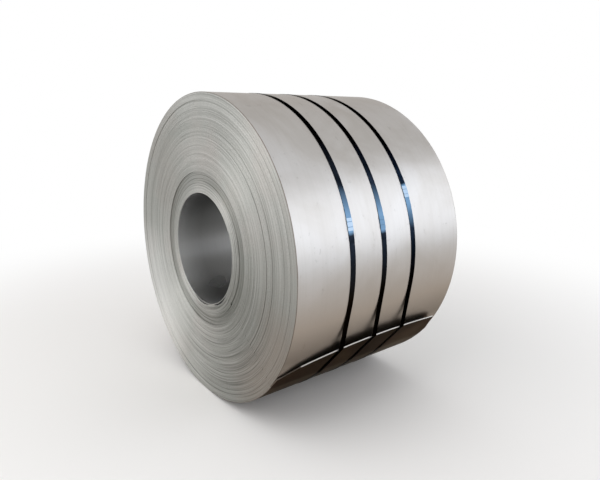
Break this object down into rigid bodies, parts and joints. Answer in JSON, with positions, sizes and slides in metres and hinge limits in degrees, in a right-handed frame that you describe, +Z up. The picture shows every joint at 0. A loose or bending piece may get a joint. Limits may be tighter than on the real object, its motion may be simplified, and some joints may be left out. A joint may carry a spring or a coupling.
{
  "type": "steel coil",
  "caption": "Strapped coil of wide stainless steel strip lying on its side with an open eye, stepped ends and a sprung tail end.",
  "frame": {"origin": "centre of the bore, midway between the coil's ends", "axes": "+Z up as the coil lies, +Y along the bore from the seen end to the far end, +X towards the side where the tail end springs off"},
  "size_m": [1.6583, 1.108, 1.6617],
  "materials": {
    "strip": "satin, as rolled",
    "strapping": "blued and waxed",
    "seal": "blued and waxed"
  },
  "bodies": {
    "root": {"coil": "strip", "strap_front": "strapping", "strap_middle": "strapping", "strap_rear": "strapping", "seal_front": "seal", "seal_middle": "seal", "seal_rear": "seal"}
  },
  "joints": []
}
